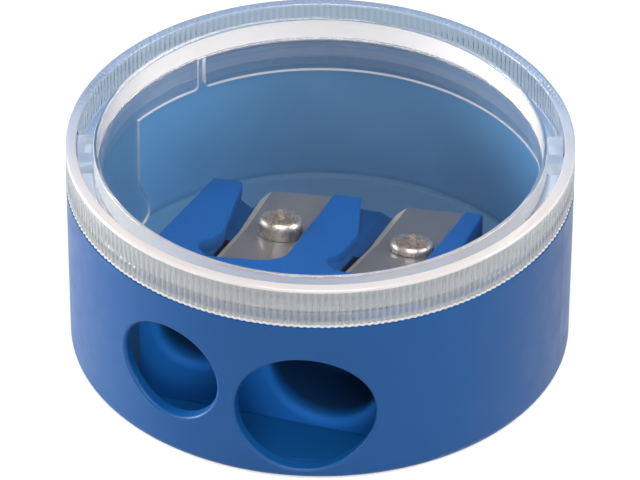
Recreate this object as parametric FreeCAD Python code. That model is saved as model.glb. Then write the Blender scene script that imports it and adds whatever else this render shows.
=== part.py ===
import FreeCAD, Part
import math
import os
from collections import namedtuple

from FreeCAD import Placement, Rotation, Vector

# A round two-hole pencil sharpener with a container, in millimetres.
# The origin is the middle of the underside, +Z is up, and pencils go in along +Y.

# Container cup
cup_radius = 27.45
cup_height = 20.0
cup_wall = 1.45
cup_floor = 1.2
cup_draft = 0.15
foot_round = 0.8
foot_ring_width = 3.2
foot_recess_depth = 0.4
floor_round = 0.5

# Pencil holes in the cup's wall
small_hole_radius = 5.75
small_hole_x = -8.55
small_hole_z = 10.5
large_hole_radius = 7.25
large_hole_x = 6.4
large_hole_z = 8.5
hole_rim_round = 0.3

# Clear lid: a recessed disc in a thin ring, an open channel round it, a ribbed rim,
# and a skirt inside the cup
lid_seat_gap = 0.1
lid_rim_height = 4.9
lid_rim_width = 3.45
lid_rim_wall = 1.0
lid_rim_edge = 0.2
lid_recess_depth = 3.0
lid_ring_wall = 0.45
lid_ring_drop = 0.4
lid_channel_base = 1.6
lid_disc_thickness = 1.2
skirt_gap = 0.5
skirt_wall = 0.75
skirt_depth = 4.3
skirt_slit_width = 0.9
skirt_slit_angle = 139.5
bridge_width = 3.3
bridge_angles = (17.5, 197.5)

# Ribs round the lid's rim
rib_count = 240
rib_depth = 0.15
rib_lip = 0.3
rib_top_margin = 0.15

# Shutter that hangs from the lid's skirt and closes both holes when the lid is turned
shutter_start_angle = 161.0
shutter_span = 70.0
shutter_floor_gap = 0.7
shutter_toe_reach = 1.7
shutter_toe_height = 2.2
shutter_toe_rise = 3.0
shutter_corner_round = 2.0

# Sharpener block, with lengths and depths measured back from its front face
block_front_setback = 7.2
block_height = 16.7
block_lip_depth = 3.8
block_crease_round = 20.0
block_top_slope = 12.5
block_left_front_x = -14.45
block_left_back_x = -13.55
block_right_front_x = 17.1
block_right_back_x = 16.2
block_left_length = 23.0
block_right_length = 26.4
block_shutter_gap = 0.35

# Bores of the block: a straight guide, then a cone
small_bore_radius = 4.1
small_bore_shift = 0.45
large_bore_radius = 6.1
large_bore_shift = 0.0
bore_mouth_round = 1.0

# Blade seats: slope down towards the back, turn of the blade on its seat,
# and the point of the cutting edge abreast of the screw, from the bore's axis and the block's front
small_seat_slope = 12.0
small_seat_turn = -0.5
small_seat_side = -0.1
small_seat_depth = 14.4
small_seat_rise = 3.0
large_seat_slope = 14.0
large_seat_turn = 1.5
large_seat_side = -0.45
large_seat_depth = 16.96
large_seat_rise = 4.3

# Blades, with a cutting edge that stands back a little in its middle;
# their lengths run forwards and backwards from the screw, along the cutting edge
small_blade_front = 11.4
small_blade_back = 10.2
large_blade_front = 12.1
large_blade_back = 11.1
blade_width = 7.9
blade_thickness = 0.65
blade_end_slant = 12.0
blade_bevel = 0.9
blade_hollow = 0.4
blade_hollow_at = -0.3
blade_front_round = 3.2
blade_heel_round = 1.1
blade_back_round = 1.8
blade_pocket_gap = 0.15

# Slot that lets the shavings out beside each cutting edge: it narrows from the back to a waist
# ahead of the screw, and from its neck on it widens again to a round end. The large one's floor
# stands above the blade and ramps down beside it; the small one's is cut off slantwise at the back
small_slot_floor = 0.15
small_slot_back = 2.25
small_slot_waist = 0.1
small_slot_waist_at = -4.3
small_slot_neck_at = -5.2
small_slot_relief_at = 6.2
large_slot_floor = 0.85
large_slot_back = 4.4
large_slot_waist = 0.65
large_slot_waist_at = -1.6
large_slot_neck_at = -6.8
large_ramp_width = 1.1
large_ramp_foot = 0.2
slot_end_inset = 2.5
slot_end_radius = 2.4
slot_end_side = 0.95
throat_width = 0.3
throat_overlap = 0.5
throat_depth = 1.3
throat_length = 6.0

# Blade screws: the large blade's has the flatter head
small_screw_rim = 1.1
small_screw_height = 2.3
large_screw_rim = 0.4
large_screw_height = 1.3
screw_from_edge = 5.0
screw_head_radius = 2.45
screw_head_base = 0.12
screw_head_shoulder = 0.9
screw_crown_rise = 0.2
screw_shank_radius = 0.95
screw_tip_radius = 0.5
screw_depth = 2.2
screw_hole_gap = 0.25
screw_pilot_gap = 0.04
screw_tip_gap = 0.2
recess_width = 0.62
recess_length = 2.5
recess_foot = 0.7
recess_depth = 0.8
recess_rim_depth = 0.2
recess_turn = 20.0

# Pins on the cup's floor that locate the block
pin_radius = 1.5
pin_height = 3.0
pin_gap = 0.05
left_pin_x = -11.2
left_pin_depth = 6.8
middle_pin_x = -1.6
middle_pin_depth = 19.8

# Sizes that follow from those above
cup_inner_radius = cup_radius - cup_wall
lid_rim_bottom = cup_height + lid_seat_gap
lid_top = lid_rim_bottom + lid_rim_height
lid_disc_top = lid_top - lid_recess_depth
lid_disc_bottom = lid_disc_top - lid_disc_thickness
lid_recess_radius = cup_radius - lid_rim_width
lid_ring_outer = lid_recess_radius + lid_ring_wall
lid_ring_top = lid_top - lid_ring_drop
lid_channel_floor = lid_rim_bottom + lid_channel_base
lid_rib_root = cup_radius - rib_depth
lid_rim_inner = lid_rib_root - lid_rim_wall
rib_bottom = lid_rim_bottom + rib_lip
rib_top = lid_top - lid_rim_edge - rib_top_margin
skirt_outer_radius = cup_inner_radius - skirt_gap
skirt_inner_radius = skirt_outer_radius - skirt_wall
skirt_bottom = lid_disc_bottom - skirt_depth
shutter_bottom = cup_floor + shutter_floor_gap
block_top = cup_floor + block_height
block_front_y = block_front_setback - cup_inner_radius
block_reach = skirt_inner_radius - block_shutter_gap
small_bore_x = small_hole_x + small_bore_shift
large_bore_x = large_hole_x + large_bore_shift
small_seat_point = Vector(
    small_bore_x + small_seat_side, block_front_y + small_seat_depth, small_hole_z + small_seat_rise,
)
large_seat_point = Vector(
    large_bore_x + large_seat_side, block_front_y + large_seat_depth, large_hole_z + large_seat_rise,
)

# One side of the sharpener: its bore, and its blade's seat with the slot beside it
Side = namedtuple(
    "Side",
    "bore_radius bore_x bore_z slope turn point blade_front blade_back "
    "slot_floor slot_back slot_waist slot_waist_at slot_neck_at screw_rim screw_height",
)
small_side = Side(
    small_bore_radius, small_bore_x, small_hole_z,
    small_seat_slope, small_seat_turn, small_seat_point, small_blade_front, small_blade_back,
    small_slot_floor, small_slot_back, small_slot_waist, small_slot_waist_at, small_slot_neck_at,
    small_screw_rim, small_screw_height,
)
large_side = Side(
    large_bore_radius, large_bore_x, large_hole_z,
    large_seat_slope, large_seat_turn, large_seat_point, large_blade_front, large_blade_back,
    large_slot_floor, large_slot_back, large_slot_waist, large_slot_waist_at, large_slot_neck_at,
    large_screw_rim, large_screw_height,
)
pin_places = (
    (left_pin_x, block_front_y + left_pin_depth),
    (middle_pin_x, block_front_y + middle_pin_depth),
)

# A length that reaches past every piece, and how near a point counts as on an edge
reach = 4 * cup_radius
touch = 0.01

origin = Vector(0, 0, 0)
up = Vector(0, 0, 1)


def polygon_face(corners):
    return Part.Face(Part.makePolygon(corners + corners[:1]))


def face_xz(points):
    """A face in the XZ plane from (x, z) corners."""
    return polygon_face([Vector(x, 0, z) for x, z in points])


def lathe(points, degrees=360.0, start=0.0):
    """A solid turned about Z from an (r, z) outline."""
    solid = face_xz(points).revolve(origin, up, degrees)
    solid.rotate(origin, up, start)
    return solid


def prism(points, low, high):
    """A solid with a plan outline of (x, y) corners between two heights."""
    return polygon_face([Vector(x, y, low) for x, y in points]).extrude(Vector(0, 0, high - low))


def along_y(radius, x, z, start, end):
    """A cylinder parallel to Y."""
    return Part.makeCylinder(radius, end - start, Vector(x, start, z), Vector(0, 1, 0))


def edges_where(solid, test):
    """The solid's edges whose middle point passes a test."""
    return [e for e in solid.Edges if test(e.valueAt((e.FirstParameter + e.LastParameter) / 2))]


def from_axis(point):
    return math.hypot(point.x, point.y)


def line(a, b):
    return Part.LineSegment(a, b).toShape()


def arc(a, middle, b):
    return Part.Arc(a, middle, b).toShape()


def placed(solid, side):
    """Moves a piece from a blade's own axes to its seat.

    Those axes are X across from the cutting edge, Y to the back and Z off the seat."""
    tilt = Rotation(Vector(1, 0, 0), -side.slope)
    turn = Rotation(up, -side.turn)
    moved = solid.copy()
    moved.Placement = Placement(side.point, tilt.multiply(turn)).multiply(moved.Placement)
    return moved


def pencil_hole(cup, radius, x, z):
    """Cuts one pencil hole through the cup's front wall and rounds its outer rim."""
    wall = lathe([
        (cup_inner_radius, 0), (reach, 0), (reach, cup_height), (cup_inner_radius, cup_height),
    ])
    cup = cup.cut(along_y(radius, x, z, -reach, 0).common(wall))
    wall_middle = cup_inner_radius + cup_wall / 2
    rim = edges_where(
        cup,
        lambda p: p.y < 0
        and from_axis(p) > wall_middle
        and abs(math.hypot(p.x - x, p.z - z) - radius) < touch,
    )
    return cup.makeFillet(hole_rim_round, rim)


def base_cup():
    """The container with its two pencil holes and the pins for the block."""
    foot_radius = cup_radius - cup_draft
    foot_inner = foot_radius - foot_ring_width
    cup = lathe([
        (0, foot_recess_depth),
        (foot_inner - foot_recess_depth, foot_recess_depth),
        (foot_inner, 0),
        (foot_radius, 0),
        (cup_radius, cup_height),
        (cup_inner_radius, cup_height),
        (cup_inner_radius, cup_floor),
        (0, cup_floor),
    ])
    foot_edge = edges_where(cup, lambda p: abs(p.z) < touch and abs(from_axis(p) - foot_radius) < touch)
    cup = cup.makeFillet(foot_round, foot_edge)
    floor_edge = edges_where(
        cup, lambda p: abs(p.z - cup_floor) < touch and abs(from_axis(p) - cup_inner_radius) < touch,
    )
    cup = cup.makeFillet(floor_round, floor_edge)
    cup = pencil_hole(cup, small_hole_radius, small_hole_x, small_hole_z)
    cup = pencil_hole(cup, large_hole_radius, large_hole_x, large_hole_z)
    for x, y in pin_places:
        cup = cup.fuse(Part.makeCylinder(pin_radius, pin_height, Vector(x, y, cup_floor)))
    return cup.removeSplitter()


def bore(side):
    """A pencil's bore: a straight guide, then a cone whose side lies in the blade's seat."""
    x, z, radius = side.bore_x, side.bore_z, side.bore_radius
    narrowing = math.tan(math.radians(side.slope))
    edge_radius = math.hypot(side.point.x - x, side.point.z - z)
    cone_start = side.point.y - (radius - edge_radius) / narrowing
    cone_end = side.point.y + edge_radius / narrowing
    guide = along_y(radius, x, z, block_front_y, cone_start)
    cone = Part.makeCone(radius, 0, cone_end - cone_start, Vector(x, cone_start, z), Vector(0, 1, 0))
    return guide.fuse(cone)


def blade_plan(front, back, gap):
    """The blade's outline with its right side and front grown by a gap.

    The cutting edge is at the left, both ends slant, and the front corner is rounded at the right."""
    right = blade_width + gap
    lean = math.radians(blade_end_slant)
    rise = Vector(right, right * math.tan(lean), 0)
    heel = Vector(0, -front - gap, 0)
    far_left = Vector(0, back, 0)
    along_front = Vector(-math.cos(lean), -math.sin(lean), 0)
    along_side = Vector(0, 1, 0)
    half_corner = (math.pi / 2 + lean) / 2
    corner = heel + rise
    trim = blade_front_round / math.tan(half_corner)
    arc_start = corner + along_front * trim
    arc_end = corner + along_side * trim
    inwards = (along_front + along_side).normalize()
    arc_middle = corner + inwards * (blade_front_round / math.sin(half_corner) - blade_front_round)
    waist = Vector(blade_hollow, blade_hollow_at, 0)
    outline = [
        line(heel, arc_start),
        arc(arc_start, arc_middle, arc_end),
        line(arc_end, far_left + rise),
        line(far_left + rise, far_left),
        line(far_left, waist),
        line(waist, heel),
    ]
    return Part.Face(Part.Wire(outline))


def seat_cut(side):
    """What a blade's seat takes out of the block, in the blade's own axes."""
    pocket = blade_plan(side.blade_front, reach, blade_pocket_gap).extrude(Vector(0, 0, reach))
    bed = blade_plan(side.blade_front, side.blade_back, 0).extrude(Vector(0, 0, reach))
    widening = (side.slot_back - side.slot_waist) / (side.blade_back - side.slot_waist_at)
    far_width = side.slot_waist + widening * (reach - side.slot_waist_at)
    end_y = slot_end_inset - side.blade_front
    slot_plan = [
        (throat_overlap, reach), (-far_width, reach), (-side.slot_waist, side.slot_waist_at),
        (-side.slot_waist, side.slot_neck_at), (slot_end_side - slot_end_radius, end_y),
        (throat_overlap, end_y),
    ]
    slot = prism(slot_plan, side.slot_floor, reach)
    slot_end = Part.makeCylinder(slot_end_radius, reach, Vector(slot_end_side, end_y, side.slot_floor))
    throat = Part.makeBox(
        throat_width + throat_overlap, throat_length, throat_depth + side.slot_floor,
        Vector(-throat_width, end_y, -throat_depth),
    )
    throat = throat.common(prism(slot_plan, -throat_depth, side.slot_floor))
    pilot = Part.makeCylinder(
        screw_shank_radius + screw_pilot_gap, screw_depth + screw_tip_gap,
        Vector(screw_from_edge, 0, -screw_depth - screw_tip_gap),
    )
    return pocket.fuse([bed, slot, slot_end, throat, pilot])


def small_slot_relief():
    """The slanting cut at the back of the small slot's floor, in the blade's own axes."""
    return prism(
        [
            (0, small_slot_relief_at), (0, reach),
            (-small_slot_back, reach), (-small_slot_back, small_slot_relief_at + small_slot_back),
        ],
        -reach, small_slot_floor,
    )


def large_slot_ramp():
    """The ramp from the large slot's floor down beside the cutting edge, in the blade's own axes."""
    ramp = face_xz([
        (throat_overlap, large_ramp_foot), (0, large_ramp_foot),
        (-large_ramp_width, large_slot_floor), (throat_overlap, large_slot_floor),
    ])
    ramp.translate(Vector(0, slot_end_inset - large_blade_front, 0))
    return ramp.extrude(Vector(0, reach, 0))


def block_body():
    """The block's wedge before its bores and seats: a flat lip, then a top that falls to the back."""
    lip_back = block_front_y + block_lip_depth
    fall_end = lip_back + block_height / math.tan(math.radians(block_top_slope))
    profile = [
        (block_front_y, cup_floor), (block_front_y, block_top), (lip_back, block_top), (fall_end, cup_floor),
    ]
    wedge = polygon_face([Vector(-reach, y, z) for y, z in profile]).extrude(Vector(2 * reach, 0, 0))
    plan = prism(
        [
            (block_left_front_x, block_front_y), (block_right_front_x, block_front_y),
            (block_right_back_x, block_front_y + block_right_length),
            (block_left_back_x, block_front_y + block_left_length),
        ],
        cup_floor, block_top,
    )
    inside = Part.makeCylinder(block_reach, block_height, Vector(0, 0, cup_floor))
    body = wedge.common(plan).common(inside)
    crease = edges_where(body, lambda p: abs(p.y - lip_back) < touch and abs(p.z - block_top) < touch)
    return body.makeFillet(block_crease_round, crease)


def sharpener_block():
    """The block that guides both pencils and carries both blades."""
    block = block_body()
    for side in (small_side, large_side):
        block = block.cut(bore(side))
        mouth = edges_where(
            block,
            lambda p: abs(p.y - block_front_y) < touch
            and abs(math.hypot(p.x - side.bore_x, p.z - side.bore_z) - side.bore_radius) < touch,
        )
        block = block.makeFillet(bore_mouth_round, mouth)
        block = block.cut(placed(seat_cut(side), side))
    block = block.cut(placed(small_slot_relief(), small_side))
    block = block.cut(placed(large_slot_ramp(), large_side))
    for x, y in pin_places:
        socket = Part.makeCylinder(pin_radius + pin_gap, pin_height + pin_gap, Vector(x, y, cup_floor))
        block = block.cut(socket)
    return block.removeSplitter()


def blade(side):
    """A flat blade, ground to its cutting edge on the upper side."""
    plate = blade_plan(side.blade_front, side.blade_back, 0).extrude(Vector(0, 0, blade_thickness))
    for corner_y, radius in ((-side.blade_front, blade_heel_round), (side.blade_back, blade_back_round)):
        corner = edges_where(
            plate,
            lambda p: abs(p.x) < touch and abs(p.y - corner_y) < touch and 0 < p.z < blade_thickness,
        )
        plate = plate.makeFillet(radius, corner)
    ground = face_xz([
        (-blade_width, 0), (0, 0), (blade_bevel, blade_thickness),
        (blade_bevel, 2 * blade_thickness), (-blade_width, 2 * blade_thickness),
    ])
    ground.translate(Vector(blade_hollow, blade_hollow_at, 0))
    for end in (-side.blade_front, side.blade_back):
        along_edge = Vector(-blade_hollow, end - blade_hollow_at, 0)
        plate = plate.cut(ground.extrude(along_edge * 2))
    hole_radius = screw_shank_radius + screw_hole_gap
    return plate.cut(Part.makeCylinder(hole_radius, blade_thickness, Vector(screw_from_edge, 0, 0)))


def blade_screw(side):
    """A pan-head screw with a cross recess, seated on the blade."""
    base = blade_thickness
    side_top = base + side.screw_rim
    crown = base + side.screw_height
    shoulder_top = crown - screw_crown_rise
    shoulder_radius = screw_head_radius - screw_head_shoulder
    bulge = math.sqrt(0.5)
    tip = Vector(screw_tip_radius, 0, -screw_depth)
    corners = [
        Vector(0, 0, -screw_depth),
        tip,
        Vector(screw_shank_radius, 0, -screw_depth + screw_shank_radius - screw_tip_radius),
        Vector(screw_shank_radius, 0, base),
        Vector(screw_head_radius - screw_head_base, 0, base),
        Vector(screw_head_radius, 0, base + screw_head_base),
        Vector(screw_head_radius, 0, side_top),
    ]
    shoulder_middle = Vector(
        shoulder_radius + screw_head_shoulder * bulge, 0, side_top + (shoulder_top - side_top) * bulge,
    )
    shoulder_end = Vector(shoulder_radius, 0, shoulder_top)
    crown_middle = Vector(shoulder_radius / 2, 0, crown - screw_crown_rise / 4)
    crown_point = Vector(0, 0, crown)
    sides = [line(a, b) for a, b in zip(corners, corners[1:])]
    sides.append(arc(corners[-1], shoulder_middle, shoulder_end))
    sides.append(arc(shoulder_end, crown_middle, crown_point))
    sides.append(line(crown_point, corners[0]))
    screw = Part.Face(Part.Wire(sides)).revolve(origin, up, 360)
    half = recess_length / 2
    foot = recess_foot / 2
    wing = face_xz([
        (-half, crown + recess_depth), (-half, crown - recess_rim_depth), (-foot, crown - recess_depth),
        (foot, crown - recess_depth), (half, crown - recess_rim_depth), (half, crown + recess_depth),
    ])
    wing.translate(Vector(0, -recess_width / 2, 0))
    wing = wing.extrude(Vector(0, recess_width, 0))
    wing.rotate(origin, up, recess_turn)
    for quarter in range(2):
        screw = screw.cut(wing)
        wing.rotate(origin, up, 90)
    screw.translate(Vector(screw_from_edge, 0, 0))
    return screw


def ribbed_band():
    """The finely ribbed band round the lid's rim."""
    step = math.pi / rib_count
    outline = []
    for i in range(2 * rib_count):
        radius = cup_radius if i % 2 == 0 else lid_rib_root
        outline.append((radius * math.cos(i * step), radius * math.sin(i * step)))
    core = Part.makeCylinder(lid_rib_root - lid_rim_wall / 2, reach)
    return prism(outline, rib_bottom, rib_top).cut(core)


def lid_shell():
    """The lid without ribs and shutter: disc in its ring, open channel, rim and inner skirt."""
    return lathe([
        (0, lid_disc_top),
        (lid_recess_radius, lid_disc_top),
        (lid_recess_radius, lid_ring_top),
        (lid_ring_outer, lid_ring_top),
        (lid_ring_outer, lid_channel_floor),
        (lid_rim_inner, lid_channel_floor),
        (lid_rim_inner, lid_top),
        (cup_radius - lid_rim_edge, lid_top),
        (cup_radius, lid_top - lid_rim_edge),
        (cup_radius, rib_top),
        (lid_rib_root, rib_top),
        (lid_rib_root, rib_bottom),
        (cup_radius, rib_bottom),
        (cup_radius, lid_rim_bottom),
        (skirt_outer_radius, lid_rim_bottom),
        (skirt_outer_radius, skirt_bottom),
        (skirt_inner_radius, skirt_bottom),
        (skirt_inner_radius, lid_disc_bottom),
        (0, lid_disc_bottom),
    ])


def shutter():
    """The curved plate under the skirt, with a flared toe on its leading side."""
    toe_degrees = math.degrees(shutter_toe_reach / skirt_inner_radius)
    plate = lathe(
        [
            (skirt_inner_radius, shutter_bottom), (skirt_outer_radius, shutter_bottom),
            (skirt_outer_radius, lid_disc_top), (skirt_inner_radius, lid_disc_top),
        ],
        shutter_span + toe_degrees, shutter_start_angle - toe_degrees,
    )
    toe_top = shutter_bottom + shutter_toe_height
    beyond = 2 * shutter_toe_reach
    above_toe = polygon_face([
        Vector(0, y, z) for y, z in (
            (0, lid_top), (0, toe_top + shutter_toe_rise), (-shutter_toe_reach, toe_top),
            (-beyond, toe_top), (-beyond, lid_top),
        )
    ]).extrude(Vector(reach, 0, 0))
    above_toe.rotate(origin, up, shutter_start_angle)
    plate = plate.cut(above_toe)
    low_corners = edges_where(
        plate,
        lambda p: abs(p.z - shutter_bottom) < touch
        and skirt_inner_radius + touch < from_axis(p) < skirt_outer_radius - touch,
    )
    return plate.makeFillet(shutter_corner_round, low_corners)


def bridges():
    """The webs that tie the rim to the ring across the channel."""
    channel = lathe([
        (lid_ring_outer, lid_channel_floor), (lid_rim_inner, lid_channel_floor),
        (lid_rim_inner, lid_ring_top), (lid_ring_outer, lid_ring_top),
    ])
    webs = []
    for angle in bridge_angles:
        web = Part.makeBox(reach, bridge_width, lid_top, Vector(0, -bridge_width / 2, 0))
        web.rotate(origin, up, angle)
        webs.append(web.common(channel))
    return webs


def lid():
    """The clear lid in one piece."""
    solid = lid_shell().fuse([ribbed_band(), shutter()] + bridges())
    slit = Part.makeBox(
        reach, skirt_slit_width, skirt_depth, Vector(0, -skirt_slit_width / 2, skirt_bottom),
    )
    slit.rotate(origin, up, skirt_slit_angle)
    skirt_core = Part.makeCylinder(skirt_outer_radius, lid_top)
    return solid.cut(slit.common(skirt_core)).removeSplitter()


def main():
    nodes = {"base_cup": base_cup(), "sharpener_block": sharpener_block(), "lid": lid()}
    for name, side in (("small", small_side), ("large", large_side)):
        nodes["blade_" + name] = placed(blade(side), side)
        nodes["blade_screw_" + name] = placed(blade_screw(side), side)
    os.makedirs("parts", exist_ok=True)
    for name, shape in nodes.items():
        print(name, len(shape.Solids), shape.isValid(), round(shape.Volume, 1))
        shape.exportStep("parts/" + name + ".step")


main()
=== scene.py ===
import math

import bpy
from mathutils import Matrix, Vector


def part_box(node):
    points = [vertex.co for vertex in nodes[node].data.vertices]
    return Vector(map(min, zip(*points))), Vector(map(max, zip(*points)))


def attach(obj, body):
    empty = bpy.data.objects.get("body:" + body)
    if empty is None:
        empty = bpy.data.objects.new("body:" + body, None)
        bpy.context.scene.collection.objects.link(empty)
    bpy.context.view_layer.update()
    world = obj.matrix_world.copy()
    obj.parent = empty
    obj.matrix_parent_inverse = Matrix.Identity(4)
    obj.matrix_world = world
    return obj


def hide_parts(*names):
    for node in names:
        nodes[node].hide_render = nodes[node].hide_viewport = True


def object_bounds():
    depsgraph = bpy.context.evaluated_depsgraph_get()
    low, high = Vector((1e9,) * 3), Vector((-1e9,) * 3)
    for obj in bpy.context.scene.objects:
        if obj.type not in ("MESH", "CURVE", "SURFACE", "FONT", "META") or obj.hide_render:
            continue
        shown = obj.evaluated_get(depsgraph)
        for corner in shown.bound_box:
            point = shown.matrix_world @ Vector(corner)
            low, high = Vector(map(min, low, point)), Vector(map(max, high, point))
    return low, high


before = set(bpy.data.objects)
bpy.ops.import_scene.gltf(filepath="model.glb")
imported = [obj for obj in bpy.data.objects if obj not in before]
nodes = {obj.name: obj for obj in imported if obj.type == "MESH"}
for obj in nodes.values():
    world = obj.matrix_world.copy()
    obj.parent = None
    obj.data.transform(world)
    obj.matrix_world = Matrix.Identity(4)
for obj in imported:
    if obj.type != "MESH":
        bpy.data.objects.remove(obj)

# A round two-hole pencil sharpener with a container and a clear lid.
# Lengths are in metres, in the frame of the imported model: +Z up, pencils go in along +Y.

MM = 0.001
cad_low, cad_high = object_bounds()

# The photograph: where its camera stands, seen from the middle of the object's underside
VIEW_TURN = math.radians(17.5)
VIEW_DOWN = math.radians(35.86)
VIEW_ROLL = math.radians(0.23)
VIEW_BACK = 567.5 * MM
VIEW_HEIGHT = 421.9 * MM
PHOTO_WIDTH = 640
FOCAL_PIXELS = 6437
SENSOR_WIDTH = 36
NEAREST = 0.01

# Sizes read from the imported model
lid_low, lid_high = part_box("lid")
cup_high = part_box("base_cup")[1]
block_low, block_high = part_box("sharpener_block")
CUP_RADIUS = cup_high.x
LID_TOP = lid_high.z
SHUTTER_BOTTOM = lid_low.z

# The lid's section: a recessed disc in a thin ring, an open channel, a ribbed rim and a skirt;
# then how its mesh follows that section, and the angle in degrees from which its edges are sharp
RIM_WIDTH = 3.45 * MM
RIM_WALL = 1.0 * MM
RING_WALL = 0.45 * MM
RING_DROP = 0.4 * MM
RECESS_DEPTH = 3.0 * MM
CHANNEL_BASE = 1.6 * MM
DISC_THICKNESS = 1.2 * MM
SEAT_GAP = 0.1 * MM
SKIRT_INSET = 1.95 * MM
SKIRT_WALL = 0.75 * MM
SKIRT_DEPTH = 4.3 * MM
EDGE_ROUND = 0.22 * MM
LIP_ROUND = 0.12 * MM
FOOT_ROUND = 0.12 * MM
HEM = 0.25 * MM
FLAT_EDGE = 0.4 * MM
WALL_ROWS = 3
ARC_STEPS = 4
SHARP_ANGLE = 38

# Ribs, bridges, slit and shutter of the lid, with angles in degrees from +X
RIB_COUNT = 240
RIB_STEPS = 6
RIB_DEPTH = 0.15 * MM
RIB_MARGIN = 0.15 * MM
BRIDGE_WIDTH = 3.3 * MM
BRIDGE_ANGLES = (17.5, 197.5)
SLIT_WIDTH = 0.9 * MM
SLIT_ANGLE = 139.5
SLIT_CORNER = 0.6 * MM
SHUTTER_START = 161.0
SHUTTER_SPAN = 70.0
SHUTTER_ROWS = 24
SHUTTER_CORNER = 2.0 * MM
TOE_REACH = 1.7 * MM
TOE_HEIGHT = 2.2 * MM
TOE_RISE = 4.5 * MM
TOE_FADE = 14.0

# Finish of the plastics and metals: each colour and roughness varies between two values
CUP_BLUE = ((0.0012, 0.051, 0.178), (0.0025, 0.057, 0.196))
CUP_ROUGH = (0.36, 0.46)
CUP_GLOSS = 0.25
BLOCK_BLUE = ((0.007, 0.090, 0.325), (0.009, 0.102, 0.360))
BLOCK_ROUGH = (0.46, 0.54)
BLOCK_GLOSS = 0.06
PLASTIC_INDEX = 1.5
STEEL = ((0.275, 0.278, 0.295), (0.29, 0.29, 0.302))
STEEL_ROUGH = (0.24, 0.27)
STEEL_METAL = 0.6
EDGE_STEEL = (0.72, 0.65, 0.52)
EDGE_METAL = 0.15
EDGE_FACING = (-0.45, -0.25)
NICKEL = ((0.50, 0.455, 0.40), (0.62, 0.57, 0.51))
NICKEL_ROUGH = (0.24, 0.32)
NICKEL_METAL = 0.85

# How fine the markings of the surfaces are, as (features per metre, detail),
# and how they stand out, as (strength, depth)
FLOW_MARKS = (90, 4)
GLOSS_SPOTS = (420, 5)
ORANGE_PEEL = (900, 2)
PEEL_BUMP = (0.03, 0.02 * MM)
DUST_CLOUDS = (140, 5)
GRIND_LINES = (900, 4)
GRIND_STRETCH = (0.12, 1.0, 1.0)
GRIND_BUMP = (0.02, 0.002 * MM)
PITS = (1800, 4)
PIT_BUMP = (0.05, 0.02 * MM)
SMEARS = (160, 4)

# Where a film lies in the cup, partly graphite dust and partly painted light: its wall, the lowest
# dusty height, how the film comes and thins, and its colours in the middle and at the sides,
# lighter than the plastic at the sides and up the wall as painted light
CUP_WALL = 1.45 * MM
DUST_EDGE = 0.04 * MM
DUST_LOW = 1.0 * MM
DUST_FADE = (-8 * MM, 2 * MM)
PAINTED_LIGHT_SIDES = (10 * MM, 24 * MM)
PAINTED_LIGHT_RISE = (1.35 * MM, 2.4 * MM)
DUST_THIN = (14.5 * MM, 18 * MM)
DUST_LEAST = 0.55
DUST_CLOUD = (0.85, 1.0)
DUST_ROUGH = 0.75
DUST_AND_LIGHT_FLOOR = ((0.076, 0.166, 0.285), (0.076, 0.205, 0.362))
DUST_AND_LIGHT_WALL = ((0.122, 0.286, 0.484), (0.122, 0.355, 0.660))

# Painted shade on the block: its colour, the bores as (x, z, radius), where along Y it comes and
# goes in them, at which shares of the radius above their axes it ends, and how much of it shows
PAINTED_SHADE_NAVY = (0.004, 0.012, 0.030)
BORES = ((-8.15 * MM, 10.5 * MM, 4.1 * MM), (6.4 * MM, 8.5 * MM, 6.1 * MM))
BORE_WALL = 0.08 * MM
BORE_DEEP = (-18.6 * MM, -16.5 * MM)
BORE_END = (-11 * MM, -8 * MM)
BORE_LOWER = (0.3, 0.6)
BORE_SHADE = 0.85

# The block's sloping top behind its front lip, and how far under it, and from where on,
# painted shade darkens the blades' slots
BLOCK_LIP = 3.8 * MM
TOP_SLOPE = math.tan(math.radians(12.5))
TOP_LEVEL = block_high.z + TOP_SLOPE * (block_low.y + BLOCK_LIP)
SLOT_DEEP = (0.4 * MM, 1.8 * MM)
SLOT_FADE = (-16.5 * MM, -14.5 * MM)
SLOT_SHADE = 0.55

# How fine the block's mesh is made, how much and how often it is smoothed to round its edges,
# and the share of its faces that is kept
SOFT_GRAIN = 0.1 * MM
SOFT_FACTOR = 0.5
SOFT_STEPS = 10
SOFT_KEPT = 0.12

# How cloudy the lid's surfaces are, from clear at 0 to white at 1, and their colour; both run from
# the front of each zone to its back, which lies at an angle in degrees from +X, and this change is
# painted light and shade: a cloudier ring and darker, bluer ribs behind
CLEAR = (0.94, 0.90, 0.88)
CREAM = (0.78, 0.735, 0.70)
RIM_CREAM = (0.80, 0.73, 0.71)
HEM_CREAM = (0.78, 0.72, 0.67)
RIM_BLUE = (0.64, 0.76, 0.92)
MOAT_BLUE = (0.44, 0.60, 0.80)
MOAT_GREY = (0.60, 0.62, 0.64)
RIB_FRONT = (0.36, 0.375, 0.38)
RIB_BACK_SHADE = (0.11, 0.175, 0.26)
PAINTED_LOOK_BACK = 107.5
PAINTED_LOOK_TURN = (0.3, 0.7)
LID_FINISH = {
    "base": (0.04, 0.04, CLEAR, CLEAR),
    "ring": (0.4, 0.85, CREAM, CREAM),
    "lip": (0.04, 0.04, CLEAR, CLEAR),
    "channel": (0.36, 0.3, MOAT_GREY, MOAT_BLUE),
    "top": (0.5, 0.25, RIM_CREAM, RIM_BLUE),
    "wall": (0.55, 0.3, RIB_FRONT, RIB_BACK_SHADE),
    "hem": (0.55, 0.3, HEM_CREAM, RIB_BACK_SHADE),
    "foot": (0.55, 0.3, HEM_CREAM, RIB_BACK_SHADE),
    "seat": (0.6, 0.0, RIB_FRONT, CLEAR),
    "edge": (0.65, 0.65, CLEAR, CLEAR),
}
PLAIN_FINISH = (0.0, 0.0, CLEAR, CLEAR)

# How much clearer the valleys between the ribs are, how rough the cloudy and the smeared parts are,
# and what the clear plastic does to light
VALLEY_CLEAR = 0.35
FROST_ROUGH = 0.25
SMEAR_ROUGH = (0.0, 0.03)
LID_SHADE = (0.93, 0.94, 0.95, 1)
LID_INDEX = 1.49

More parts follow.
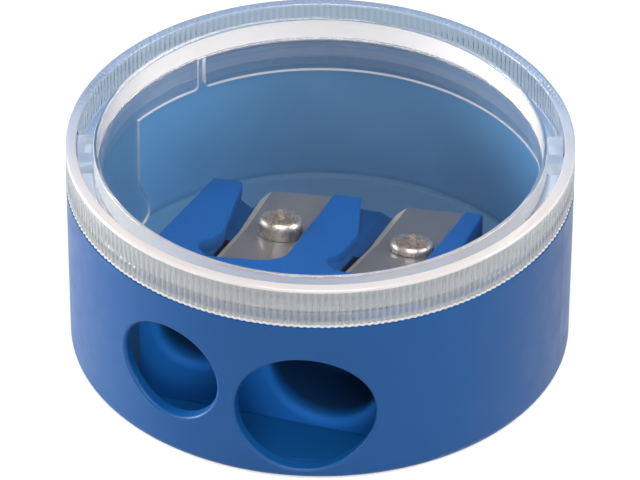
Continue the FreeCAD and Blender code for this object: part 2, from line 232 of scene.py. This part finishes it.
# The stage: the floor, the lamps as (place, size, watts), the room's light, and how often light
# is passed on; a lamp's place is seen from the camera's side, X to the right and Y away from it
FLOOR_HALF = 3.0
FLOOR_DROP = 0.02 * MM
FLOOR_GREY = 0.4
FLOOR_ROUGH = 0.7
FLOOR_GLOW = 0.6
LAMPS = {
    "front": ((0.0, -0.92, 0.22), (0.6, 0.4), 4.2),
    "left": ((-0.67, 0.2, 0.1), (0.4, 0.5), 14.0),
    "right": ((0.7, 0.0, 0.4), (0.4, 0.5), 5.0),
    "top": ((0.0, -0.35, 0.74), (0.5, 0.5), 7.2),
}
LAMP_AIM = (0, 0, 0.012)
ROOM_LIGHT = 0.08
MOST_BOUNCES = 20
GLOSSY_BOUNCES = 10

# Sizes of the lid that follow from those above
DISC_TOP = LID_TOP - RECESS_DEPTH
DISC_BOTTOM = DISC_TOP - DISC_THICKNESS
RECESS_RADIUS = CUP_RADIUS - RIM_WIDTH
RING_OUTER = RECESS_RADIUS + RING_WALL
RING_TOP = LID_TOP - RING_DROP
RING_SIDE = RING_TOP - 2 * LIP_ROUND
RIM_BOTTOM = cup_high.z + SEAT_GAP
CHANNEL_FLOOR = RIM_BOTTOM + CHANNEL_BASE
RIM_INNER = CUP_RADIUS - RIB_DEPTH - RIM_WALL
SKIRT_OUTER = CUP_RADIUS - SKIRT_INSET
SKIRT_INNER = SKIRT_OUTER - SKIRT_WALL
SKIRT_BOTTOM = DISC_BOTTOM - SKIRT_DEPTH


# Shader helpers

def new_material(name):
    material = bpy.data.materials.new(name)
    material.use_nodes = True
    tree = material.node_tree
    return material, tree, tree.nodes["Principled BSDF"]


def node(tree, kind, **settings):
    made = tree.nodes.new(kind)
    for key, value in settings.items():
        setattr(made, key, value)
    return made


def feed(tree, value, socket):
    """Links an output to a socket, or sets a plain value there."""
    if isinstance(value, bpy.types.NodeSocket):
        tree.links.new(value, socket)
    else:
        socket.default_value = value


def calculate(tree, operation, *values):
    made = node(tree, "ShaderNodeMath", operation=operation)
    for value, socket in zip(values, made.inputs):
        feed(tree, value, socket)
    return made.outputs["Value"]


def multiply(tree, *factors):
    product = factors[0]
    for factor in factors[1:]:
        product = calculate(tree, "MULTIPLY", product, factor)
    return product


def combine(tree, operation, output, *vectors):
    made = node(tree, "ShaderNodeVectorMath", operation=operation)
    for vector, socket in zip(vectors, made.inputs):
        feed(tree, vector, socket)
    return made.outputs[output]


def from_axis(tree, space, centre, across):
    """The distance from an axis through a point, in the plane of the axes marked with 1."""
    away = combine(tree, "SUBTRACT", "Vector", space, centre)
    flat = combine(tree, "MULTIPLY", "Vector", away, across)
    return combine(tree, "LENGTH", "Value", flat)


def separate(tree, vector):
    made = node(tree, "ShaderNodeSeparateXYZ")
    tree.links.new(vector, made.inputs["Vector"])
    return made.outputs["X"], made.outputs["Y"], made.outputs["Z"]


def noise(tree, source, grain, stretch=None):
    """Noise of a grain (features per metre, detail), drawn out along an axis where asked."""
    if stretch is not None:
        mapping = node(tree, "ShaderNodeMapping")
        mapping.inputs["Scale"].default_value = stretch
        tree.links.new(source, mapping.inputs["Vector"])
        source = mapping.outputs["Vector"]
    made = node(tree, "ShaderNodeTexNoise")
    made.inputs["Scale"].default_value, made.inputs["Detail"].default_value = grain
    tree.links.new(source, made.inputs["Vector"])
    return made.outputs["Fac"]


def remap(tree, value, low, high, start=0.25, end=0.75):
    """Spreads a value, by default a noise, over a range."""
    made = node(tree, "ShaderNodeMapRange")
    made.inputs["From Min"].default_value = start
    made.inputs["From Max"].default_value = end
    made.inputs["To Min"].default_value = low
    made.inputs["To Max"].default_value = high
    tree.links.new(value, made.inputs["Value"])
    return made.outputs["Result"]


def blend(tree, factor, first, second, kind="RGBA"):
    """Mixes two values or two colours, each of them plain or from an output."""
    made = node(tree, "ShaderNodeMix", data_type=kind)
    tree.links.new(factor, made.inputs["Factor"])
    for value, name in ((first, "A"), (second, "B")):
        feed(tree, (*value, 1) if isinstance(value, tuple) else value, made.inputs[name])
    return made.outputs["Result"]


def cover(tree, shader, name, film, layer, kind="RGBA"):
    """Lays a film's colour or value over what already feeds one of a shader's sockets."""
    under = shader.inputs[name].links[0].from_socket
    tree.links.new(blend(tree, film, under, layer, kind), shader.inputs[name])


def bump(tree, shader, height, strength, distance):
    made = node(tree, "ShaderNodeBump")
    made.inputs["Strength"].default_value = strength
    made.inputs["Distance"].default_value = distance
    tree.links.new(height, made.inputs["Height"])
    tree.links.new(made.outputs["Normal"], shader.inputs["Normal"])


def object_space(tree):
    return node(tree, "ShaderNodeTexCoord").outputs["Object"]


# Materials

def moulded_plastic(name, colours, rough, gloss):
    """Moulded plastic, with faint flow marks in its colour and a fine orange peel in its gloss."""
    material, tree, shader = new_material(name)
    space = object_space(tree)
    flow = remap(tree, noise(tree, space, FLOW_MARKS), 0, 1)
    tree.links.new(blend(tree, flow, *colours), shader.inputs["Base Color"])
    haze = remap(tree, noise(tree, space, GLOSS_SPOTS), *rough)
    tree.links.new(haze, shader.inputs["Roughness"])
    bump(tree, shader, noise(tree, space, ORANGE_PEEL), *PEEL_BUMP)
    shader.inputs["IOR"].default_value = PLASTIC_INDEX
    shader.inputs["Specular IOR Level"].default_value = gloss
    return material, tree, shader, space


def cup_plastic():
    """The cup's blue plastic, with a film in the room for the shavings: graphite dust, and painted
    light that makes it lighter than the plastic, more so at the sides and up the wall.
    """
    material, tree, shader, space = moulded_plastic("cup_plastic", CUP_BLUE, CUP_ROUGH, CUP_GLOSS)
    x, y, z = separate(tree, space)
    inner = CUP_RADIUS - CUP_WALL
    across = from_axis(tree, space, (0, 0, 0), (1, 1, 0))
    inside = remap(tree, across, 1, 0, inner + DUST_EDGE, inner + 2 * DUST_EDGE)
    above = remap(tree, z, 0, 1, DUST_LOW, DUST_LOW + DUST_EDGE)
    behind = remap(tree, y, 0, 1, *DUST_FADE)
    thin = remap(tree, z, 1, DUST_LEAST, *DUST_THIN)
    cloud = remap(tree, noise(tree, space, DUST_CLOUDS), *DUST_CLOUD)
    film = multiply(tree, inside, above, behind, thin, cloud)
    # Painted light: the film's colours are lighter than the plastic, more so towards the sides and
    # up the wall.
    side = remap(tree, calculate(tree, "ABSOLUTE", x), 0, 1, *PAINTED_LIGHT_SIDES)
    low = blend(tree, side, *DUST_AND_LIGHT_FLOOR)
    high = blend(tree, side, *DUST_AND_LIGHT_WALL)
    dust_and_light = blend(tree, remap(tree, z, 0, 1, *PAINTED_LIGHT_RISE), low, high)
    cover(tree, shader, "Base Color", film, dust_and_light)
    cover(tree, shader, "Roughness", film, DUST_ROUGH, "FLOAT")
    return material


def block_plastic():
    """The block's deeper blue plastic, with painted shade low in its slots and deep in its bores.
    """
    material, tree, shader, space = moulded_plastic(
        "block_plastic", BLOCK_BLUE, BLOCK_ROUGH, BLOCK_GLOSS
    )
    _, y, z = separate(tree, space)
    shaded = []
    for bore_x, bore_z, radius in BORES:
        across = from_axis(tree, space, (bore_x, 0, bore_z), (1, 0, 1))
        inside = remap(tree, across, 1, 0, radius + BORE_WALL, radius + 3 * BORE_WALL)
        below = remap(tree, z, 1, 0, *(bore_z + share * radius for share in BORE_LOWER))
        shaded.append(multiply(tree, inside, below))
    # Painted shade: darker deeper in the bores and below their axes, not on the block's front face.
    deep = remap(tree, y, 0, BORE_SHADE, *BORE_DEEP)
    ended = remap(tree, y, 1, 0, *BORE_END)
    shade_in_bores = multiply(tree, calculate(tree, "MAXIMUM", *shaded), deep, ended)
    # Painted shade: faces lower than the sloping top, in the slots, darken with their depth.
    drop = combine(tree, "DOT_PRODUCT", "Value", space, (0, -TOP_SLOPE, -1))
    lower = remap(tree, drop, 0, SLOT_SHADE, *(depth - TOP_LEVEL for depth in SLOT_DEEP))
    shade_in_slots = multiply(tree, lower, remap(tree, y, 0, 1, *SLOT_FADE))
    film = calculate(tree, "MAXIMUM", shade_in_bores, shade_in_slots)
    cover(tree, shader, "Base Color", film, PAINTED_SHADE_NAVY)
    return material


def blade_steel():
    """Satin steel with fine grinding lines across the blade and a paler ground edge."""
    material, tree, shader = new_material("blade_steel")
    lines = noise(tree, object_space(tree), GRIND_LINES, GRIND_STRETCH)
    flat = blend(tree, remap(tree, lines, 0, 1), *STEEL)
    facing = separate(tree, node(tree, "ShaderNodeTexCoord").outputs["Normal"])[0]
    ground = remap(tree, facing, 1, 0, *EDGE_FACING)
    tree.links.new(blend(tree, ground, flat, EDGE_STEEL), shader.inputs["Base Color"])
    tree.links.new(remap(tree, lines, *STEEL_ROUGH), shader.inputs["Roughness"])
    tree.links.new(remap(tree, ground, STEEL_METAL, EDGE_METAL, 0, 1), shader.inputs["Metallic"])
    bump(tree, shader, lines, *GRIND_BUMP)
    return material


def screw_nickel():
    """Satin nickel plate, a little warm, with faint pitting."""
    material, tree, shader = new_material("screw_nickel")
    pits = noise(tree, object_space(tree), PITS)
    tree.links.new(blend(tree, remap(tree, pits, 0, 1), *NICKEL), shader.inputs["Base Color"])
    tree.links.new(remap(tree, pits, *NICKEL_ROUGH), shader.inputs["Roughness"])
    shader.inputs["Metallic"].default_value = NICKEL_METAL
    bump(tree, shader, pits, *PIT_BUMP)
    return material


def lid_clear():
    """Clear polystyrene, cloudy where its mould is fine-grained, with painted light and shade from
    its front to its back; it casts only a faint shade.
    """
    material, tree, shader = new_material("lid_clear")
    frost = node(tree, "ShaderNodeAttribute", attribute_name="frost").outputs["Fac"]
    tint = node(tree, "ShaderNodeAttribute", attribute_name="tint").outputs["Color"]
    smear = remap(tree, noise(tree, object_space(tree), SMEARS), *SMEAR_ROUGH)
    rough = calculate(tree, "MULTIPLY_ADD", frost, FROST_ROUGH, smear)
    tree.links.new(tint, shader.inputs["Base Color"])
    tree.links.new(rough, shader.inputs["Roughness"])
    tree.links.new(calculate(tree, "SUBTRACT", 1.0, frost), shader.inputs["Transmission Weight"])
    shader.inputs["IOR"].default_value = LID_INDEX
    through = node(tree, "ShaderNodeBsdfTransparent")
    through.inputs["Color"].default_value = LID_SHADE
    path = node(tree, "ShaderNodeLightPath").outputs
    mix = node(tree, "ShaderNodeMixShader")
    unseen = calculate(tree, "MAXIMUM", path["Is Shadow Ray"], path["Is Diffuse Ray"])
    tree.links.new(unseen, mix.inputs["Fac"])
    tree.links.new(shader.outputs["BSDF"], mix.inputs[1])
    tree.links.new(through.outputs["BSDF"], mix.inputs[2])
    tree.links.new(mix.outputs["Shader"], tree.nodes["Material Output"].inputs["Surface"])
    return material


# The lid as one turned mesh

def rounded(corners):
    """Rows (r, z) of a section from corners (r, z, radius), with each round one as a short arc."""
    rows = [corners[0][:2]]
    for before, (r, z, radius), after in zip(corners, corners[1:], corners[2:]):
        if radius == 0:
            rows.append((r, z))
            continue
        here = Vector((r, z))
        back = (Vector(before[:2]) - here).normalized()
        on = (Vector(after[:2]) - here).normalized()
        half = back.angle(on) / 2
        middle = here + (back + on).normalized() * (radius / math.sin(half))
        start = here + back * (radius / math.tan(half)) - middle
        end = here + on * (radius / math.tan(half)) - middle
        for step in range(ARC_STEPS + 1):
            rows.append(tuple(middle + start.slerp(end, step / ARC_STEPS).normalized() * radius))
    rows.append(corners[-1][:2])
    return rows


def lid_columns():
    """The angles of the mesh's columns: even steps along the ribs, and a pair at abrupt edges."""
    count = RIB_COUNT * RIB_STEPS
    angles = [2 * math.pi * i / count for i in range(count)]
    hair = 1e-4
    for angle, width, radius in (
        (BRIDGE_ANGLES[0], BRIDGE_WIDTH, RING_OUTER),
        (BRIDGE_ANGLES[1], BRIDGE_WIDTH, RING_OUTER),
        (SLIT_ANGLE, SLIT_WIDTH, SKIRT_OUTER),
    ):
        for side in (-1, 1):
            edge = math.radians(angle) + side * width / 2 / radius
            angles += [edge - hair, edge + hair]
    return sorted(angles)


def turned_by(angle, centre):
    """The signed turn from an angle in degrees to one in radians."""
    return (angle - math.radians(centre) + math.pi) % (2 * math.pi) - math.pi


def clip(value):
    return min(1.0, max(0.0, value))


def rib_valley(angle):
    """How far an angle lies from a rib's crest, with 1 for the valley between two ribs."""
    return (1 - math.cos(RIB_COUNT * angle)) / 2


def near(angle, centre, width, radius):
    return abs(turned_by(angle, centre)) * radius < width / 2


def corner_lift(inset, radius):
    """How far a rounded lower corner is lifted at some distance in from its side."""
    if inset >= radius:
        return 0.0
    return radius - math.sqrt(radius**2 - (radius - inset) ** 2)


def lid_section():
    """The rows (r, z) of the lid's section, with the zone that each belongs to."""
    rib_top = LID_TOP - RIB_MARGIN - EDGE_ROUND
    rim_side = LID_TOP - 2 * LIP_ROUND
    wall_end = RIM_BOTTOM + FOOT_ROUND
    disc_edge = RECESS_RADIUS - LIP_ROUND - FLAT_EDGE
    under_edge = SKIRT_INNER - EDGE_ROUND - FLAT_EDGE
    zones = {
        "disc": [(0, DISC_TOP), (disc_edge, DISC_TOP)],
        "base": rounded([
            (disc_edge, DISC_TOP, 0),
            (RECESS_RADIUS, DISC_TOP, LIP_ROUND),
            (RECESS_RADIUS, RING_SIDE, 0),
        ])[1:-1],
        "ring": [(RECESS_RADIUS, RING_SIDE)],
        "lip": rounded([
            (RECESS_RADIUS, RING_SIDE, 0),
            (RECESS_RADIUS, RING_TOP, LIP_ROUND),
            (RING_OUTER, RING_TOP, LIP_ROUND),
            (RING_OUTER, RING_SIDE, 0),
        ])[1:],
        "channel": rounded([
            (RING_OUTER, RING_SIDE, 0),
            (RING_OUTER, CHANNEL_FLOOR, EDGE_ROUND),
            (RIM_INNER, CHANNEL_FLOOR, EDGE_ROUND),
            (RIM_INNER, rim_side, 0),
        ])[1:-1],
        "rim_side": [(RIM_INNER, rim_side)],
        "top": rounded([
            (RIM_INNER, rim_side, 0),
            (RIM_INNER, LID_TOP, LIP_ROUND),
            (CUP_RADIUS, LID_TOP, EDGE_ROUND),
            (CUP_RADIUS, rib_top, 0),
        ])[1:],
        "wall": [
            (CUP_RADIUS, rib_top + (wall_end + HEM - rib_top) * i / WALL_ROWS)
            for i in range(1, WALL_ROWS + 1)
        ],
        "hem": [(CUP_RADIUS, wall_end)],
        "foot": rounded([
            (CUP_RADIUS, wall_end, 0),
            (CUP_RADIUS, RIM_BOTTOM, FOOT_ROUND),
            (SKIRT_OUTER, RIM_BOTTOM, 0),
        ])[2:-1],
        "seat": [(SKIRT_OUTER, RIM_BOTTOM)],
        "skirt": [(SKIRT_OUTER, SKIRT_BOTTOM)],
        "edge": [(SKIRT_INNER, SKIRT_BOTTOM)],
        "inside": rounded([
            (SKIRT_INNER, SKIRT_BOTTOM, 0),
            (SKIRT_INNER, DISC_BOTTOM, EDGE_ROUND),
            (under_edge, DISC_BOTTOM, 0),
        ])[1:-1],
        "under": [(under_edge, DISC_BOTTOM), (0, DISC_BOTTOM)],
    }
    return [(zone, r, z) for zone, rows in zones.items() for r, z in rows]


def zone_finish(zone, angle):
    """The cloudiness and colour of a zone at an angle, with painted light and shade from the lid's
    front to its back.
    """
    front_haze, back_haze, front_tint, back_tint = LID_FINISH.get(zone, PLAIN_FINISH)
    low, high = PAINTED_LOOK_TURN
    # Painted light and shade: each zone's look goes from its front to its back.
    turn = (1 + math.cos(turned_by(angle, PAINTED_LOOK_BACK))) / 2
    back = clip((turn - low) / (high - low))
    tint = Vector(front_tint).lerp(Vector(back_tint), back)
    haze = front_haze + (back_haze - front_haze) * back
    if zone == "wall":
        haze *= 1 - VALLEY_CLEAR * rib_valley(angle)
    return haze, (*tint, 1)


def lid_mesh():
    """Recessed disc in a ring, channel with bridges, ribbed rim, slit skirt and shutter."""
    section = lid_section()
    zones = [zone for zone, r, z in section]
    spanned = [k for k, zone in enumerate(zones) if zone in ("channel", "rim_side")]
    outer_edge, inner_edge = zones.index("skirt"), zones.index("edge")
    columns = lid_columns()
    last = len(section) - 1

    verts = [(0, 0, DISC_TOP), (0, 0, DISC_BOTTOM)]

    def add_point(radius, angle, z):
        verts.append((radius * math.cos(angle), radius * math.sin(angle), z))
        return len(verts) - 1

    grid = []
    for angle in columns:
        bridged = any(near(angle, a, BRIDGE_WIDTH, RING_OUTER) for a in BRIDGE_ANGLES)
        from_slit = abs(turned_by(angle, SLIT_ANGLE)) * SKIRT_OUTER - SLIT_WIDTH / 2
        dent = RIB_DEPTH * rib_valley(angle)
        line = [0]
        for k, (zone, r, z) in enumerate(section[1:last], 1):
            if bridged and k in spanned:
                along = (k - spanned[0] + 1) / len(spanned)
                r, z = RING_OUTER + (RIM_INNER - RING_OUTER) * along, RING_SIDE
            if zone in ("skirt", "edge"):
                if from_slit < 0:
                    z = DISC_BOTTOM - EDGE_ROUND
                else:
                    z += corner_lift(from_slit, SLIT_CORNER)
            if zone in ("wall", "hem", "foot"):
                r -= dent
            line.append(add_point(r, angle, z))
        grid.append(line + [1])

    faces = []
    hazes = []
    tints = []

    def add_face(corners, zone, angle=0.0):
        haze, tint = zone_finish(zone, angle)
        faces.append(list(dict.fromkeys(corners)))
        hazes.append(haze)
        tints.extend(tint)

    start = math.radians(SHUTTER_START)
    end = start + math.radians(SHUTTER_SPAN)
    covered = [i for i, angle in enumerate(columns) if start <= angle <= end]
    for i, angle in enumerate(columns):
        here, there = grid[i], grid[(i + 1) % len(columns)]
        for k in range(last):
            if k == outer_edge and covered[0] <= i < covered[-1]:
                continue
            add_face([here[k], here[k + 1], there[k + 1], there[k]], zones[k + 1], angle)

    # The shutter hangs from the skirt's open lower edge
    hung = []
    for i in covered:
        angle = columns[i]
        inset = min(angle - start, end - angle) * SKIRT_OUTER
        low = SHUTTER_BOTTOM + corner_lift(inset, SHUTTER_CORNER)
        fade = max(0.0, 1 - (angle - start) / math.radians(TOE_FADE))
        outer, inner = [grid[i][outer_edge]], [grid[i][inner_edge]]
        for k in range(1, SHUTTER_ROWS + 1):
            z = SKIRT_BOTTOM + (low - SKIRT_BOTTOM) * k / SHUTTER_ROWS
            flare = clip((SHUTTER_BOTTOM + TOE_HEIGHT + TOE_RISE - z) / TOE_RISE)
            turned = angle - fade * TOE_REACH / SKIRT_OUTER * flare * flare * (3 - 2 * flare)
            for radius, column in ((SKIRT_OUTER, outer), (SKIRT_INNER, inner)):
                column.append(add_point(radius, turned, z))
        hung.append((outer, inner))
    for (outer, inner), (next_outer, next_inner) in zip(hung, hung[1:]):
        for k in range(SHUTTER_ROWS):
            add_face([outer[k], outer[k + 1], next_outer[k + 1], next_outer[k]], "shutter")
            add_face([inner[k + 1], inner[k], next_inner[k], next_inner[k + 1]], "shutter")
        add_face([outer[-1], inner[-1], next_inner[-1], next_outer[-1]], "edge")
    for k in range(SHUTTER_ROWS):
        outer, inner = hung[0]
        add_face([outer[k + 1], outer[k], inner[k], inner[k + 1]], "edge")
        outer, inner = hung[-1]
        add_face([outer[k], outer[k + 1], inner[k + 1], inner[k]], "edge")

    mesh = bpy.data.meshes.new("clear_lid")
    mesh.from_pydata(verts, [], faces)
    mesh.attributes.new("frost", "FLOAT", "FACE").data.foreach_set("value", hazes)
    mesh.attributes.new("tint", "FLOAT_COLOR", "FACE").data.foreach_set("color", tints)
    mesh.validate()
    mesh.shade_smooth()
    mesh.set_sharp_from_angle(angle=math.radians(SHARP_ANGLE))
    return mesh


def make_lid():
    lid = bpy.data.objects.new("clear_lid", lid_mesh())
    bpy.context.scene.collection.objects.link(lid)
    lid.data.materials.append(lid_clear())
    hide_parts("lid")
    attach(lid, "lid")


# Finish of the other pieces

def dress(name, material):
    piece = nodes[name]
    piece.data.materials.clear()
    piece.data.materials.append(material)


def soften(name):
    """Rounds a moulded piece's sharp edges a little."""
    piece = nodes[name]
    even = piece.modifiers.new("even", "REMESH")
    even.mode = "VOXEL"
    even.voxel_size = SOFT_GRAIN
    even.use_smooth_shade = True
    soft = piece.modifiers.new("soft", "SMOOTH")
    soft.factor = SOFT_FACTOR
    soft.iterations = SOFT_STEPS
    fewer = piece.modifiers.new("fewer", "DECIMATE")
    fewer.ratio = SOFT_KEPT


def dress_all():
    dress("base_cup", cup_plastic())
    dress("sharpener_block", block_plastic())
    soften("sharpener_block")
    steel = blade_steel()
    nickel = screw_nickel()
    for size in ("small", "large"):
        dress("blade_" + size, steel)
        dress("blade_screw_" + size, nickel)


# Stage, light and camera

def make_floor():
    """A pale floor that shows white, also in metal and through the lid, and keeps the shadow."""
    mesh = bpy.data.meshes.new("floor")
    corners = [(x * FLOOR_HALF, y * FLOOR_HALF, 0) for x, y in ((-1, -1), (1, -1), (1, 1), (-1, 1))]
    mesh.from_pydata(corners, [], [(0, 1, 2, 3)])
    floor = bpy.data.objects.new("floor", mesh)
    bpy.context.scene.collection.objects.link(floor)
    floor.location.z = cad_low.z - FLOOR_DROP
    material, tree, shader = new_material("floor_white")
    shader.inputs["Base Color"].default_value = (FLOOR_GREY, FLOOR_GREY, FLOOR_GREY, 1)
    shader.inputs["Roughness"].default_value = FLOOR_ROUGH
    path = node(tree, "ShaderNodeLightPath").outputs
    shown = calculate(tree, "MAXIMUM", path["Is Camera Ray"], path["Is Glossy Ray"])
    shown = calculate(tree, "MAXIMUM", shown, path["Is Transmission Ray"])
    shader.inputs["Emission Color"].default_value = (1, 1, 1, 1)
    glow = calculate(tree, "MULTIPLY", shown, FLOOR_GLOW)
    tree.links.new(glow, shader.inputs["Emission Strength"])
    mesh.materials.append(material)


def softbox(name, place, size, power):
    lamp = bpy.data.lights.new(name, "AREA")
    lamp.shape = "RECTANGLE"
    lamp.size, lamp.size_y = size
    lamp.energy = power
    box = bpy.data.objects.new(name, lamp)
    bpy.context.scene.collection.objects.link(box)
    box.location = Matrix.Rotation(VIEW_TURN, 3, "Z") @ Vector(place)
    box.rotation_euler = (Vector(LAMP_AIM) - box.location).to_track_quat("-Z", "Y").to_euler()


def make_lights():
    """Soft studio light."""
    for name, lamp in LAMPS.items():
        softbox(name, *lamp)
    world = bpy.data.worlds.new("studio")
    world.use_nodes = True
    background = world.node_tree.nodes["Background"]
    background.inputs["Color"].default_value = (1, 1, 1, 1)
    background.inputs["Strength"].default_value = ROOM_LIGHT
    bpy.context.scene.world = world


def make_camera():
    camera = bpy.data.cameras.new("camera")
    camera.sensor_width = SENSOR_WIDTH
    camera.lens = FOCAL_PIXELS * SENSOR_WIDTH / PHOTO_WIDTH
    camera.clip_start = NEAREST
    stand = bpy.data.objects.new("camera", camera)
    bpy.context.scene.collection.objects.link(stand)
    turn = Matrix.Rotation(VIEW_TURN, 4, "Z")
    look = Matrix.Rotation(math.pi / 2 - VIEW_DOWN, 4, "X") @ Matrix.Rotation(VIEW_ROLL, 4, "Z")
    stand.matrix_world = turn @ Matrix.Translation((0, -VIEW_BACK, VIEW_HEIGHT)) @ look
    bpy.context.scene.camera = stand


def set_up_scene():
    scene = bpy.context.scene
    scene.view_settings.view_transform = "Standard"
    scene.cycles.max_bounces = MOST_BOUNCES
    scene.cycles.transmission_bounces = MOST_BOUNCES
    scene.cycles.glossy_bounces = GLOSSY_BOUNCES


make_lid()
dress_all()
make_floor()
make_lights()
make_camera()
set_up_scene()
